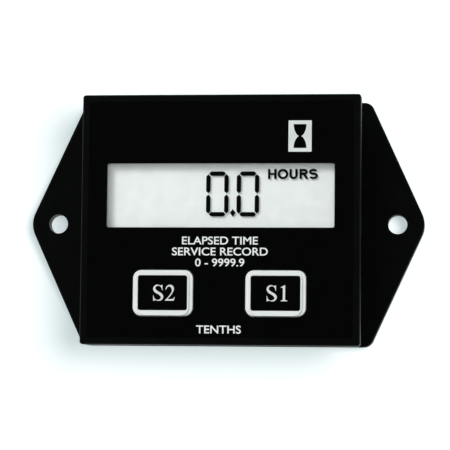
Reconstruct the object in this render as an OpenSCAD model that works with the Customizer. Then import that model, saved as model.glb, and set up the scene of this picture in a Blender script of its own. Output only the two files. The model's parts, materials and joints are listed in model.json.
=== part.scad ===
// Surface-mounted hour meter with a liquid crystal window and two push buttons, in millimetres.
// It lies on its mounting face: X runs to the right of the dial, Y up the dial and Z out of the face.

/* [Face layout] */
// Width of the display window
window_w = 44.4; // [36:0.1:60]
// Height of the display window
window_h = 12.5; // [9:0.1:20]
// Corner radius of the display window
window_r = 0.4; // [0.2:0.1:2]
// Black margin on each side of the window
window_side = 5.05; // [4.8:0.05:12]
// Black margin above the window
top_margin = 13.5; // [12.5:0.1:25]
// Height of the legend band between the window and the buttons
legend_h = 8.3; // [6:0.1:20]
// Black margin below the buttons
bottom_margin = 5.6; // [4.6:0.1:15]
// Corner radius of the face
face_r = 0.6; // [0.5:0.1:3]
// Rounding of the edge of the face
face_edge_r = 0.3; // [0.1:0.05:0.45]

/* [Buttons] */
// Width of a button
key_w = 11.75; // [9:0.05:14]
// Height of a button
key_h = 8.9; // [8:0.1:14]
// Corner radius of a button
key_r = 1.65; // [0.9:0.05:3]
// Black margin between a side of the face and a button
key_side = 10.4; // [9.2:0.05:13]
// How far a button stands out of the face
key_rise = 0.7; // [0.4:0.05:2]
// Rounding of the button's outer edge
key_edge_r = 0.25; // [0.1:0.05:0.5]
// Width of the pale rim around the inlay
key_rim = 1.05; // [0.8:0.05:2]
// Width of the lower ledge along the rim's left and right sides
ledge_w = 0.7; // [0.3:0.05:0.8]
// How far those ledges lie below the crest of the rim
ledge_drop = 0.45; // [0.1:0.05:0.5]
// How far the crest lies inside the button's upper and lower edges
crest_in = 0.05; // [0.02:0.01:0.2]
// Rounding of the crest
crest_edge_r = 0.12; // [0.05:0.01:0.15]
// Corner radius of the inlay
inlay_r = 0.45; // [0.2:0.05:1]
// Thickness of the inlay
inlay_t = 0.4; // [0.2:0.05:0.8]
// How far the inlay lies below the top of the rim
inlay_sink = 0.15; // [0.05:0.05:0.4]
// Gap around a button in its opening
key_clear = 0.15; // [0.1:0.05:0.4]
// Reach of the flange that keeps a button in
key_flange = 0.8; // [0.4:0.1:1.2]
// Thickness of that flange
key_flange_t = 0.8; // [0.5:0.1:1.5]
// Gap between the flange and the front wall at rest
key_seat_gap = 0.05; // [0.02:0.01:0.2]
// Wall of the hollow button
key_wall = 1.3; // [1:0.1:2]
// Thickness of the button's roof under the inlay
key_roof = 1.2; // [0.8:0.1:1.5]

/* [Mounting plate] */
// Thickness of the mounting plate
plate_t = 3; // [2.2:0.1:5]
// Distance from the side of the face to a screw hole's centre
ear_reach = 6.75; // [6:0.05:15]
// Diameter of a mounting hole
hole_d = 3.8; // [2.5:0.1:5]
// Radius of the ear around its hole
ear_end_r = 5.3; // [4:0.1:8]
// How far the centres of the plate's round corners lie past the sides of the face
plate_side = 0.15; // [-0.5:0.05:3]
// How far the plate's top and bottom edges lie inside those of the face
plate_drop = 0.1; // [0:0.05:0.8]
// Radius of the plate's four corners
plate_r = 2; // [0.8:0.1:4]
// Rounding of the plate's front edge
plate_edge_r = 0.35; // [0.1:0.05:0.6]

/* [Housing] */
// How far the front moulding stands over the box behind it
overhang = 1.2; // [0.8:0.05:1.4]
// Wall of the box
wall_t = 1.6; // [1:0.1:1.8]
// Floor of the box
floor_t = 2; // [1.6:0.1:2.2]
// Corner radius of the box
box_r = 2; // [1.5:0.1:4]
// Thickness of the front wall
front_wall_t = 1.6; // [1.2:0.1:2.5]
// Depth of the front moulding's outer edge
rim_depth = 3.4; // [3:0.1:6]
// Gap between the front moulding's skirt and the box
skirt_clear = 0.1; // [0.05:0.05:0.3]
// Width of the frame around the printed overlay
overlay_border = 1.3; // [0.8:0.1:2]
// Thickness of the printed overlay
overlay_t = 0.25; // [0.15:0.05:0.6]
// How far the overlay lies below the frame
overlay_sink = 0.05; // [0.02:0.01:0.3]
// Gap around the overlay and the button inlays
sheet_clear = 0.05; // [0.02:0.01:0.15]
// Thickness of the gasket
gasket_t = 0.6; // [0.3:0.1:1.2]

/* [Case screws] */
// Diameter of a case screw
case_screw_d = 2.2; // [1.8:0.1:2.6]
// Diameter of its head
case_head_d = 4.2; // [3.6:0.1:4.6]
// Thickness of its head
case_head_t = 1.2; // [0.9:0.1:1.3]
// Length under its head
case_screw_len = 8; // [6:0.5:9]
// Depth of the head's seat in the back
case_seat = 1.4; // [1.3:0.1:1.8]
// Gap around a screw in its hole
screw_clear = 0.05; // [0.03:0.01:0.15]
// Gap around a screw head in its seat
head_clear = 0.3; // [0.1:0.05:0.5]
// Radius of a corner post
post_r = 2.4; // [2:0.1:2.7]
// Gap between a corner post and the box wall
post_gap = 0.3; // [0.1:0.1:0.6]
// Height of the bosses that meet the corner posts
boss_h = 1.4; // [0.6:0.1:2]

/* [Display] */
// How far the front wall's opening clears the printed window
opening_margin = 0.3; // [0.1:0.05:0.5]
// Thickness of the lens under the overlay
lens_t = 0.7; // [0.4:0.05:0.8]
// Width of the seat that carries the edge of the lens
lens_margin = 0.7; // [0.4:0.1:0.9]
// Gap around the lens in its seat
lens_clear = 0.05; // [0.02:0.01:0.15]
// Thickness of the lip between the lens and the display
lip_t = 0.3; // [0.2:0.05:0.4]
// Gap between the lip and the display, and under the front wall
display_gap = 0.05; // [0.02:0.01:0.2]
// Thickness of the front polariser
polariser_t = 0.2; // [0.1:0.05:0.25]
// Thickness of one display glass
glass_t = 0.55; // [0.4:0.05:1.2]
// How far the glasses run past the window
glass_margin = 1; // [0.6:0.1:1.1]
// Width of the contact ledge above and below the rear glass
glass_ledge = 2.2; // [1.8:0.1:2.6]
// Thickness of the reflector behind the rear glass
reflector_t = 0.3; // [0.1:0.05:0.5]
// Wall of the display holder
holder_wall = 0.6; // [0.4:0.05:0.65]
// Thickness of the holder's floor under the display
holder_floor_t = 1.2; // [0.8:0.1:2]
// Gap around the glass in its holder
holder_clear = 0.1; // [0.05:0.05:0.15]
// Thickness of a contact strip
strip_w = 1.5; // [1:0.1:1.7]
// How far a contact strip stops short of the glass ends
strip_end = 2; // [1:0.5:5]

/* [Circuit board] */
// Thickness of the board
board_t = 1.6; // [0.8:0.1:2]
// Gap between the board and the box wall
board_gap = 0.6; // [0.3:0.1:1]
// Gap between the board and a corner post
notch_gap = 0.4; // [0.2:0.1:0.8]
// Radius of a board standoff
standoff_r = 1.9; // [1.6:0.1:2.1]
// Sideways place of the upper standoffs
standoff_x = 13; // [8:0.5:15]
// Diameter of a board screw
board_screw_d = 1.7; // [1.4:0.1:2]
// Diameter of its head
board_head_d = 3.4; // [2.6:0.1:3.6]
// Thickness of its head
board_head_t = 1.1; // [0.7:0.1:1.6]
// Length under its head
board_screw_len = 5; // [3.5:0.5:5.5]

/* [Switches] */
// Width of a switch body
switch_w = 6; // [5.5:0.1:7]
// Height of a switch with its plunger
switch_h = 4.3; // [4.1:0.1:7]
// How far the plunger stands out of the cover
stem_h = 0.8; // [0.6:0.05:1]
// Diameter of the plunger
stem_d = 3.4; // [2.6:0.1:3.6]
// Gap around the plunger
stem_clear = 0.15; // [0.1:0.05:0.3]
// Diameter of the plunger's flange
plunger_d = 4.4; // [4.2:0.1:4.8]
// Thickness of the plunger's flange
plunger_t = 0.5; // [0.3:0.05:0.6]
// Thickness of the switch cover
cover_t = 0.2; // [0.1:0.05:0.3]
// Depth of the well under the cover
well_depth = 1.4; // [1.3:0.05:2]
// Rise of the snap dome
dome_rise = 0.5; // [0.3:0.05:0.55]
// Thickness of the snap dome
dome_t = 0.1; // [0.05:0.01:0.15]
// Width of a switch terminal
terminal_w = 0.7; // [0.5:0.05:1]
// Thickness of a switch terminal
terminal_t = 0.25; // [0.2:0.05:0.4]
// Distance between the two terminals on one side
terminal_pitch = 4.5; // [3.5:0.1:4.8]

/* [Battery] */
// Diameter of the coin cell
cell_d = 20; // [16:0.5:22]
// Thickness of the coin cell
cell_t = 3.2; // [2:0.1:5]
// Distance from the side of the board to the coin cell
cell_side = 3.35; // [2.4:0.05:6]
// How far the cell's centre lies below the window's centre
cell_drop = 1.65; // [0:0.05:4]
// Thickness of a battery tab
tab_t = 0.2; // [0.1:0.05:0.3]
// Width of a battery tab
tab_w = 4; // [2:0.1:6]
// Gap between the cell's upper tab and the board
cell_gap = 0.35; // [0.15:0.05:1]
// Gap between the cell's lower tab and the floor
cell_clear = 0.4; // [0.2:0.05:2]

/* [Lead inlet] */
// Bore of the lead grommet
lead_d = 2.6; // [1.5:0.1:3.4]
// Diameter of the hole that the grommet sits in
grommet_d = 5; // [4.4:0.1:6]
// Diameter of the grommet's flanges
grommet_flange_d = 7; // [6.6:0.1:9]
// Thickness of a grommet flange
grommet_flange_t = 0.7; // [0.5:0.05:0.9]
// Gap around the grommet's outer flange in its recess
grommet_clear = 0.2; // [0.1:0.05:0.4]
// Distance of the inlet below the buttons' upper edges
lead_drop = 3; // [2:0.1:6]
// Diameter of a lead pin
lead_pin_d = 0.9; // [0.6:0.1:1.2]
// Distance between the two lead pins
lead_pin_pitch = 6; // [3:0.1:8]

/* [Components] */
// Side of the controller's body
chip_w = 10; // [7:0.5:11]
// Thickness of a chip body
chip_t = 1.4; // [0.8:0.1:1.6]
// Leads on each side of the controller
chip_leads = 11; // [4:1:11]
// Width of the memory's body
memory_w = 4; // [3:0.1:5]
// Length of the memory's body
memory_l = 5; // [4.6:0.1:6]
// Leads on each side of the memory
memory_leads = 4; // [2:1:4]
// Diameter of the quartz crystal's can
crystal_d = 2; // [1.5:0.1:2.4]
// Length of the quartz crystal's can
crystal_l = 6; // [4:0.1:8]
// Length of a small chip component
small_l = 2; // [1.2:0.1:2.2]
// Width of a small chip component
small_w = 1.25; // [0.6:0.05:1.4]
// Thickness of a small chip capacitor
capacitor_t = 0.9; // [0.4:0.1:1.2]
// Thickness of a small chip resistor
resistor_t = 0.5; // [0.3:0.1:0.8]
// Small components in one row
small_count = 5; // [2:1:5]

/* [Hidden] */
$fn = 48;

// Smallest overlap of two shapes that are joined, and overshoot of a cut
bite = 0.4;
// Turn of one step on a small and on a large round corner, in degrees
small_step = 11.25;
large_step = 3;
// Radius from which a corner counts as large
large_r = 3;
// Steps of a rounded edge
edge_steps = 3;

// Face, from the layout
face_w = window_w + 2 * window_side;
face_h = top_margin + window_h + legend_h + key_h + bottom_margin;
window_y = face_h / 2 - top_margin - window_h / 2;
key_y = bottom_margin + key_h / 2 - face_h / 2;
s1_x = face_w / 2 - key_side - key_w / 2;
s2_x = -s1_x;
sides = [-1, 1];

// Box behind the face
box_w = face_w - 2 * overhang;
box_h = face_h - 2 * overhang;
inside_w = box_w - 2 * wall_t;
inside_h = box_h - 2 * wall_t;
inside_r = box_r - wall_t / 2;
post_x = inside_w / 2 - post_gap - post_r;
post_y = inside_h / 2 - post_gap - post_r;
posts = [for (x = sides, y = sides) [x * post_x, y * post_y]];

// Heights, stacked up from the mounting face
cell_bottom = floor_t + cell_clear + tab_t;
cell_top = cell_bottom + cell_t;
board_bottom = cell_top + tab_t + cell_gap;
board_top = board_bottom + board_t;
key_bottom = board_top + switch_h;
wall_back = key_bottom + key_flange_t + key_seat_gap;
recess_floor = wall_back + front_wall_t;
face_z = recess_floor + overlay_t + overlay_sink;
key_top = face_z + key_rise;
rim_bottom = face_z - rim_depth;
box_top = wall_back - gasket_t;
boss_top = floor_t + boss_h;
inlay_floor = key_top - inlay_sink - inlay_t;

// Heights of the display, hung from the seat of the lens
lens_z = recess_floor - lens_t;
lip_z = lens_z - lip_t;
front_glass_z = lip_z - display_gap - glass_t;
polariser_z = front_glass_z + glass_t;
rear_glass_z = front_glass_z - glass_t;
reflector_z = rear_glass_z - reflector_t;
glass_w = window_w + 2 * glass_margin;
rear_glass_h = window_h + 2 * glass_margin;
front_glass_h = rear_glass_h + 2 * glass_ledge;
holder_w = glass_w + 2 * (holder_clear + holder_wall);
holder_h = front_glass_h + 2 * (holder_clear + holder_wall);
holder_top = wall_back - display_gap;
strip_y = rear_glass_h / 2 + glass_ledge / 2;

// Board and what fastens it
board_w = inside_w - 2 * board_gap;
board_h = inside_h - 2 * board_gap;
notch_x = post_x - post_r - notch_gap;
notch_y = post_y - post_r - notch_gap;
cell_x = cell_side + cell_d / 2 - board_w / 2;
cell_y = window_y - cell_drop;
key_outer_x = s1_x + key_w / 2 + key_flange;
standoff_top_y = (window_y + holder_h / 2 + inside_h / 2) / 2;
standoff_low_x = (key_outer_x + board_w / 2) / 2;
standoff_low_y = (window_y - holder_h / 2 - notch_y) / 2;
standoffs = [
    for (x = sides) [x * standoff_x, standoff_top_y],
    for (x = sides) [x * standoff_low_x, standoff_low_y]
];

// Switch heights, counted from the board
base_h = switch_h - stem_h - cover_t;
well_floor = base_h - well_depth;
well_d = plunger_d + 4 * stem_clear;
flange_low = base_h - key_seat_gap - plunger_t;
nub_d = plunger_d / 3;
nub_low = well_floor + dome_rise + dome_t;
terminal_x = switch_w / 2 + terminal_t / 2;
terminal_hole_d = norm([terminal_w, terminal_t]) + 2 * stem_clear;
clip_share = 0.4;
terminal_up = 1.2;
terminal_down = 1;

// Inlet and mounting holes
hole_spacing = face_w + 2 * ear_reach;
lead_y = key_y + key_h / 2 - lead_drop;
lead_pin_y = lead_y - grommet_flange_d / 2 - lead_pin_d;
lead_pin_up = 0.8;
lead_pin_down = 2.4;
grommet_recess = grommet_flange_t + sheet_clear;

// Components under the board, laid out beside the coin cell
chip_x = (cell_x + cell_d / 2 + board_w / 2) / 2;
chip_y = cell_y;
lead_reach = 1;
lead_t = 0.15;
lead_w = 0.3;
lead_row_share = 0.8;
chip_lead_pitch = chip_w * lead_row_share / (chip_leads - 1);
memory_lead_pitch = 1.27;
chip_gap = 0.1;
chip_row = chip_w / 2 + lead_reach;
memory_y = key_y + key_h / 2;
crystal_y = chip_y - chip_row - crystal_d;
crystal_lead_w = 0.3;
crystal_lead_l = 1.2;
small_pitch = 2.8;
resistor_y = crystal_y - crystal_d / 2 - small_w;
capacitor_y = chip_y + chip_row + small_w;

// Cross recess of the screws, its slots as shares of the head's diameter
cross_l = 0.6;
cross_w = 0.22;
cross_depth = 0.5;

// Direction square to the straight side from one round corner to the next, as an angle
function side_angle(a, b) =
    let (d = [b.x - a.x, b.y - a.y])
    atan2(d.y, d.x) - acos((a.z - b.z) / norm(d));

function arc_steps(r, turn) = max(1, ceil(turn / (r < large_r ? small_step : large_step)));

// Outline around round corners [x, y, radius], listed anticlockwise
function round_outline(corners) = [
    for (i = [0 : len(corners) - 1])
        let (
            n = len(corners),
            here = corners[i],
            start = side_angle(corners[(i + n - 1) % n], here),
            turn = (side_angle(here, corners[(i + 1) % n]) - start + 720) % 360,
            steps = arc_steps(here.z, turn)
        )
        for (k = [0 : steps])
            let (a = start + turn * k / steps)
            [here.x + here.z * cos(a), here.y + here.z * sin(a)]
];

// Round corners of a rectangle
function rect_corners(w, h, r) = [
    for (s = [[1, -1], [1, 1], [-1, 1], [-1, -1]]) [s.x * (w / 2 - r), s.y * (h / 2 - r), r]
];

function inset(corners, by) = [for (c = corners) [c.x, c.y, c.z - by]];

// Round corners of the mounting plate: an ear about each hole, and four corners level with the face
function plate_corners() =
    let (
        x = face_w / 2 + plate_side,
        y = face_h / 2 - plate_drop - plate_r,
        e = hole_spacing / 2
    )
    [
        [e, 0, ear_end_r], [x, y, plate_r], [-x, y, plate_r],
        [-e, 0, ear_end_r], [-x, -y, plate_r], [x, -y, plate_r]
    ];

// Straight slab between two heights
module slab(corners, z0, z1) {
    translate([0, 0, z0])
        linear_extrude(z1 - z0)
            polygon(round_outline(corners));
}

// Slab whose upper edge is rounded
module soft_slab(corners, z0, z1, edge) {
    hull()
        for (k = [0 : edge_steps])
            slab(inset(corners, edge * (1 - cos(90 * k / edge_steps))), z0,
                z1 - edge * (1 - sin(90 * k / edge_steps)));
}

module rod(d, z0, z1) {
    translate([0, 0, z0])
        cylinder(d = d, h = z1 - z0);
}

module block(size_x, size_y, z0, z1) {
    translate([-size_x / 2, -size_y / 2, z0])
        cube([size_x, size_y, z1 - z0]);
}

module at_keys() {
    for (x = [s1_x, s2_x])
        translate([x, key_y])
            children();
}

module at_window() {
    translate([0, window_y])
        children();
}

// Slab of the window's shape, larger by a margin all round
module window_slab(margin, z0, z1) {
    slab(rect_corners(window_w + 2 * margin, window_h + 2 * margin, window_r + margin), z0, z1);
}

// Two slots across a screw head, from below
module cross_recess(d, z) {
    for (turn = [0, 90])
        rotate(turn)
            block(d * cross_l, d * cross_w, z - bite, z + cross_depth);
}

// Mounting plate and box in one moulding
module rear_case() {
    color("#161616")
        difference() {
            union() {
                difference() {
                    union() {
                        soft_slab(plate_corners(), 0, plate_t, plate_edge_r);
                        slab(rect_corners(box_w, box_h, box_r), 0, box_top);
                    }
                    slab(rect_corners(inside_w, inside_h, inside_r), floor_t, box_top + bite);
                }
                for (p = posts)
                    translate(p)
                        rod(2 * post_r, floor_t - bite, boss_top);
            }
            for (x = sides)
                translate([x * hole_spacing / 2, 0])
                    rod(hole_d, -bite, plate_t + bite);
            for (p = posts)
                translate(p) {
                    rod(case_head_d + 2 * head_clear, -bite, case_seat);
                    rod(case_screw_d + 2 * head_clear, 0, boss_top + bite);
                }
            translate([0, lead_y]) {
                rod(grommet_flange_d + 2 * grommet_clear, -bite, grommet_recess);
                rod(grommet_d, 0, floor_t + bite);
            }
        }
}

// Front moulding: framed face, skirt over the box, corner posts and board standoffs
module front_bezel() {
    screw_end = case_seat + case_screw_len;
    board_screw_end = board_bottom + board_screw_len;
    color("#141414") {
        difference() {
            soft_slab(rect_corners(face_w, face_h, face_r), rim_bottom, face_z, face_edge_r);
            slab(rect_corners(face_w - 2 * overlay_border, face_h - 2 * overlay_border, face_r),
                recess_floor, face_z + bite);
            slab(rect_corners(box_w + 2 * skirt_clear, box_h + 2 * skirt_clear, box_r),
                rim_bottom - bite, wall_back);
            at_window() {
                window_slab(opening_margin, wall_back - bite, face_z);
                window_slab(opening_margin + lens_margin, lens_z, face_z);
                block(glass_w + 2 * holder_clear, front_glass_h + 2 * holder_clear,
                    wall_back - bite, lip_z);
            }
            at_keys()
                slab(rect_corners(key_w + 2 * key_clear, key_h + 2 * key_clear, key_r + key_clear),
                    wall_back - bite, face_z);
        }
        for (p = posts)
            translate(p)
                difference() {
                    rod(2 * post_r, boss_top, wall_back + bite);
                    rod(case_screw_d + 2 * screw_clear, boss_top - bite, screw_end + bite);
                }
        for (p = standoffs)
            translate(p)
                difference() {
                    rod(2 * standoff_r, board_top, wall_back + bite);
                    rod(board_screw_d + 2 * screw_clear, board_top - bite, board_screw_end + bite);
                }
    }
}

// Flat rubber seal between the box and the front moulding
module case_gasket() {
    color("#2a2a2a")
        difference() {
            slab(rect_corners(box_w, box_h, box_r), box_top, wall_back);
            slab(rect_corners(inside_w, inside_h, inside_r), box_top - bite, wall_back + bite);
        }
}

// Printed sheet let into the face
module face_overlay() {
    border = overlay_border + sheet_clear;
    top = recess_floor + overlay_t;
    color("#0b0b0c")
        difference() {
            slab(rect_corners(face_w - 2 * border, face_h - 2 * border, face_r), recess_floor, top);
            at_window()
                window_slab(0, recess_floor - bite, top + bite);
            at_keys()
                slab(rect_corners(key_w + 2 * key_clear, key_h + 2 * key_clear, key_r + key_clear),
                    recess_floor - bite, top + bite);
        }
}

// Clear plate let into the front wall, its edge under the overlay
module window_lens() {
    color("#cfd6d4", 0.4)
        at_window()
            window_slab(opening_margin + lens_margin - lens_clear, lens_z, recess_floor);
}

// Hollow button with a rim stepped at its sides, a flange that keeps it in, and a pad for the switch
module key_cap(x) {
    crest_w = key_w - 2 * ledge_w;
    crest_h = key_h - 2 * crest_in;
    hollow_top = inlay_floor - key_roof;
    color("#dfe3e2")
        translate([x, key_y]) {
            difference() {
                union() {
                    soft_slab(rect_corners(key_w, key_h, key_r),
                        key_bottom, key_top - ledge_drop, key_edge_r);
                    soft_slab(rect_corners(crest_w, crest_h, key_r),
                        key_bottom, key_top, crest_edge_r);
                    slab(rect_corners(key_w + 2 * key_flange, key_h + 2 * key_flange, key_r),
                        key_bottom, key_bottom + key_flange_t);
                }
                slab(rect_corners(key_w - 2 * key_rim, key_h - 2 * key_rim, inlay_r),
                    inlay_floor, key_top + bite);
                slab(rect_corners(key_w - 2 * key_wall, key_h - 2 * key_wall, inlay_r),
                    key_bottom - bite, hollow_top);
            }
            rod(stem_d, key_bottom, hollow_top + bite);
        }
}

// Black inlay in the top of a button
module key_label(x) {
    rim = key_rim + sheet_clear;
    color("#0b0b0c")
        translate([x, key_y])
            slab(rect_corners(key_w - 2 * rim, key_h - 2 * rim, inlay_r),
                inlay_floor, inlay_floor + inlay_t);
}

// Moulded switch body with the well for dome and plunger
module switch_base(x) {
    color("#1d1d1f")
        translate([x, key_y, board_top])
            difference() {
                block(switch_w, switch_w, 0, base_h);
                rod(well_d, well_floor, base_h + bite);
            }
}

// Pressed cover with two clips down the sides
module switch_cover(x) {
    clip_w = switch_w * clip_share;
    clip_drop = base_h / 2;
    color("#b9bcc0")
        translate([x, key_y, board_top])
            difference() {
                union() {
                    block(switch_w, switch_w, base_h, base_h + cover_t);
                    for (s = sides)
                        translate([0, s * (switch_w + cover_t) / 2])
                            block(clip_w, cover_t, base_h - clip_drop, base_h + cover_t);
                }
                rod(stem_d + 2 * stem_clear, base_h - bite, base_h + cover_t + bite);
            }
}

// Turned profile of the plunger, from its nub up to the button's pad
module switch_plunger(x) {
    profile = [
        [0, nub_low], [nub_d / 2, nub_low], [nub_d / 2, flange_low], [plunger_d / 2, flange_low],
        [plunger_d / 2, flange_low + plunger_t], [stem_d / 2, flange_low + plunger_t],
        [stem_d / 2, switch_h], [0, switch_h]
    ];
    color("#2b2b2e")
        translate([x, key_y, board_top])
            rotate_extrude()
                polygon(profile);
}

// Thin domed disc that snaps through under the plunger
module switch_dome(x) {
    steps = 6;
    r = plunger_d / 2;
    function crown(k) = dome_rise * (1 - pow(k / steps, 2));
    upper = [for (k = [0 : steps]) [r * k / steps, crown(k) + dome_t]];
    lower = [for (k = [steps : -1 : 0]) [r * k / steps, crown(k)]];
    color("#c9ccd0")
        translate([x, key_y, board_top + well_floor])
            rotate_extrude()
                polygon(concat(upper, lower));
}

// Four flat legs down the sides of the switch and through the board
module switch_terminals(x) {
    color("#c8c9c6")
        translate([x, key_y])
            for (sx = sides, sy = sides)
                translate([sx * terminal_x, sy * terminal_pitch / 2])
                    block(terminal_t, terminal_w, board_bottom - terminal_down, board_top + terminal_up);
}

// Film on the front glass, inside the lip
module front_polariser() {
    color("#d5dad6", 0.5)
        at_window()
            window_slab(opening_margin - lens_clear, polariser_z, polariser_z + polariser_t);
}

module glass_plate(h, z0, thickness) {
    at_window()
        block(glass_w, h, z0, z0 + thickness);
}

module lcd_front_glass() {
    color("#dfe8e4", 0.4)
        glass_plate(front_glass_h, front_glass_z, glass_t);
}

module lcd_rear_glass() {
    color("#dfe8e4", 0.4)
        glass_plate(rear_glass_h, rear_glass_z, glass_t);
}

module rear_reflector() {
    color("#e8ecea")
        glass_plate(rear_glass_h, reflector_z, reflector_t);
}

// Tray that carries the glasses, hollow below, with slots for the contact strips
module lcd_holder() {
    hollow_w = glass_w - 2 * holder_wall;
    hollow_h = 2 * (strip_y - strip_w / 2 - holder_clear - holder_wall);
    color("#e6e2d6")
        at_window()
            difference() {
                union() {
                    block(holder_w, holder_h, board_top, holder_top);
                    block(glass_w, rear_glass_h, board_top, reflector_z);
                }
                block(glass_w + 2 * holder_clear, front_glass_h + 2 * holder_clear,
                    reflector_z, holder_top + bite);
                block(hollow_w, hollow_h, board_top - bite, reflector_z - holder_floor_t);
                for (s = sides)
                    translate([0, s * strip_y])
                        block(glass_w - 2 * strip_end + 2 * holder_clear, strip_w + 2 * holder_clear,
                            board_top - bite, holder_top + bite);
            }
}

// Rubber contact strip between the board and a glass ledge
module zebra_strip(side) {
    color("#3b3b3e")
        translate([0, window_y + side * strip_y])
            block(glass_w - 2 * strip_end, strip_w, board_top, front_glass_z);
}

// Board notched around the corner posts and drilled for screws, terminals and pins
module circuit_board() {
    color("#1f6b3a")
        difference() {
            union() {
                block(board_w, 2 * notch_y, board_bottom, board_top);
                block(2 * notch_x, board_h, board_bottom, board_top);
            }
            for (p = standoffs)
                translate(p)
                    rod(board_screw_d + 2 * head_clear, board_bottom - bite, board_top + bite);
            at_keys()
                for (sx = sides, sy = sides)
                    translate([sx * terminal_x, sy * terminal_pitch / 2])
                        rod(terminal_hole_d, board_bottom - bite, board_top + bite);
            for (s = sides)
                translate([s * lead_pin_pitch / 2, lead_pin_y])
                    rod(lead_pin_d + 2 * screw_clear, board_bottom - bite, board_top + bite);
        }
}

// One gull-wing lead, foot on the board at height zero, running out along X from the body's side
module gull_lead() {
    knee = chip_t / 2;
    rotate([90, 0, 0])
        translate([0, 0, -lead_w / 2])
            linear_extrude(lead_w)
                polygon([
                    [-bite, knee], [lead_reach / 2, knee], [lead_reach / 2, lead_t], [lead_reach, lead_t],
                    [lead_reach, 0], [lead_reach / 2 - lead_t, 0], [lead_reach / 2 - lead_t, knee - lead_t],
                    [-bite, knee - lead_t]
                ]);
}

// Row of leads along the side that faces +X
module lead_row(count, pitch, side_x) {
    for (i = [0 : count - 1])
        translate([side_x, (i - (count - 1) / 2) * pitch])
            gull_lead();
}

// Square controller with leads on four sides, hung under the board
module controller_chip() {
    color("#232326")
        translate([chip_x, chip_y, board_bottom])
            mirror([0, 0, 1]) {
                block(chip_w, chip_w, chip_gap, chip_gap + chip_t);
                for (turn = [0 : 90 : 270])
                    rotate(turn)
                        lead_row(chip_leads, chip_lead_pitch, chip_w / 2);
            }
}

// Small memory with leads on two sides, on the front of the board between the switches
module memory_chip() {
    color("#232326")
        translate([0, memory_y, board_top]) {
            block(memory_w, memory_l, chip_gap, chip_gap + chip_t);
            for (turn = [0, 180])
                rotate(turn)
                    lead_row(memory_leads, memory_lead_pitch, memory_w / 2);
        }
}

// Can of the quartz crystal with two bent leads, under the board
module quartz_crystal() {
    axis_z = board_bottom - crystal_d / 2 - sheet_clear;
    color("#c5c7c9")
        translate([chip_x - crystal_l / 2, crystal_y, axis_z]) {
            rotate([0, 90, 0])
                cylinder(d = crystal_d, h = crystal_l);
            for (s = sides)
                translate([0, s * crystal_d / 4]) {
                    translate([-crystal_lead_l, -crystal_lead_w / 2, -crystal_lead_w / 2])
                        cube([crystal_lead_l + bite, crystal_lead_w, crystal_lead_w]);
                    translate([-crystal_lead_l, -crystal_lead_w / 2, -crystal_lead_w / 2])
                        cube([crystal_lead_w, crystal_lead_w, board_bottom - axis_z + crystal_lead_w / 2]);
                }
        }
}

// Row of small chip components under the board
module small_row(y, thickness) {
    for (i = [0 : small_count - 1])
        translate([chip_x + (i - (small_count - 1) / 2) * small_pitch, y])
            block(small_w, small_l, board_bottom - thickness, board_bottom);
}

module chip_capacitors() {
    color("#b08d5a")
        small_row(capacitor_y, capacitor_t);
}

module chip_resistors() {
    color("#1c1c1e")
        small_row(resistor_y, resistor_t);
}

// Sealed coin cell, the smaller cap towards the board
module battery() {
    r = cell_d / 2;
    edge = cell_t / 8;
    cap_r = r - 3 * edge;
    color("#c2c4c6")
        translate([cell_x, cell_y, cell_bottom])
            rotate_extrude()
                polygon([
                    [0, 0], [r - edge, 0], [r, edge], [r, cell_t - 2 * edge], [r - edge, cell_t - edge],
                    [cap_r, cell_t - edge], [cap_r, cell_t], [0, cell_t]
                ]);
}

// Strip from the middle of the cell out past its rim and up to a foot under the board
module battery_tab(side, z) {
    reach = cell_d / 2 + tab_w / 4;
    color("#cfd1d2")
        translate([cell_x, cell_y])
            rotate(side > 0 ? 0 : 180) {
                translate([0, -tab_w / 2, z])
                    cube([reach, tab_w, tab_t]);
                translate([reach - tab_t, -tab_w / 2, z])
                    cube([tab_t, tab_w, board_bottom - z]);
                translate([reach - tab_t, -tab_w / 2, board_bottom - tab_t])
                    cube([tab_w / 3, tab_w, tab_t]);
            }
}

module battery_tab_positive() {
    battery_tab(-1, cell_bottom - tab_t);
}

module battery_tab_negative() {
    battery_tab(1, cell_top);
}

// Two solder pins for the sensing lead
module lead_pins() {
    color("#c9a24b")
        for (s = sides)
            translate([s * lead_pin_pitch / 2, lead_pin_y])
                rod(lead_pin_d, board_bottom - lead_pin_down, board_top + lead_pin_up);
}

// Rubber grommet with a flange on each side of the floor
module lead_grommet() {
    neck_r = grommet_d / 2 - sheet_clear;
    flange_r = grommet_flange_d / 2;
    bore_r = lead_d / 2;
    outer_low = grommet_recess - grommet_flange_t;
    color("#202022")
        translate([0, lead_y])
            rotate_extrude()
                polygon([
                    [bore_r, outer_low], [flange_r, outer_low], [flange_r, grommet_recess],
                    [neck_r, grommet_recess], [neck_r, floor_t], [flange_r, floor_t],
                    [flange_r, floor_t + grommet_flange_t], [bore_r, floor_t + grommet_flange_t]
                ]);
}

// Screw with a flat head at height zero, its shank running up
module screw(d, len, head_d, head_t) {
    difference() {
        union() {
            rod(head_d, -head_t, 0);
            rod(d, -bite, len);
        }
        cross_recess(head_d, -head_t);
    }
}

module case_screws() {
    color("#3a3b3d")
        for (p = posts)
            translate([p.x, p.y, case_seat])
                screw(case_screw_d, case_screw_len, case_head_d, case_head_t);
}

module board_screws() {
    color("#b4b6b8")
        for (p = standoffs)
            translate([p.x, p.y, board_bottom])
                screw(board_screw_d, board_screw_len, board_head_d, board_head_t);
}

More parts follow.
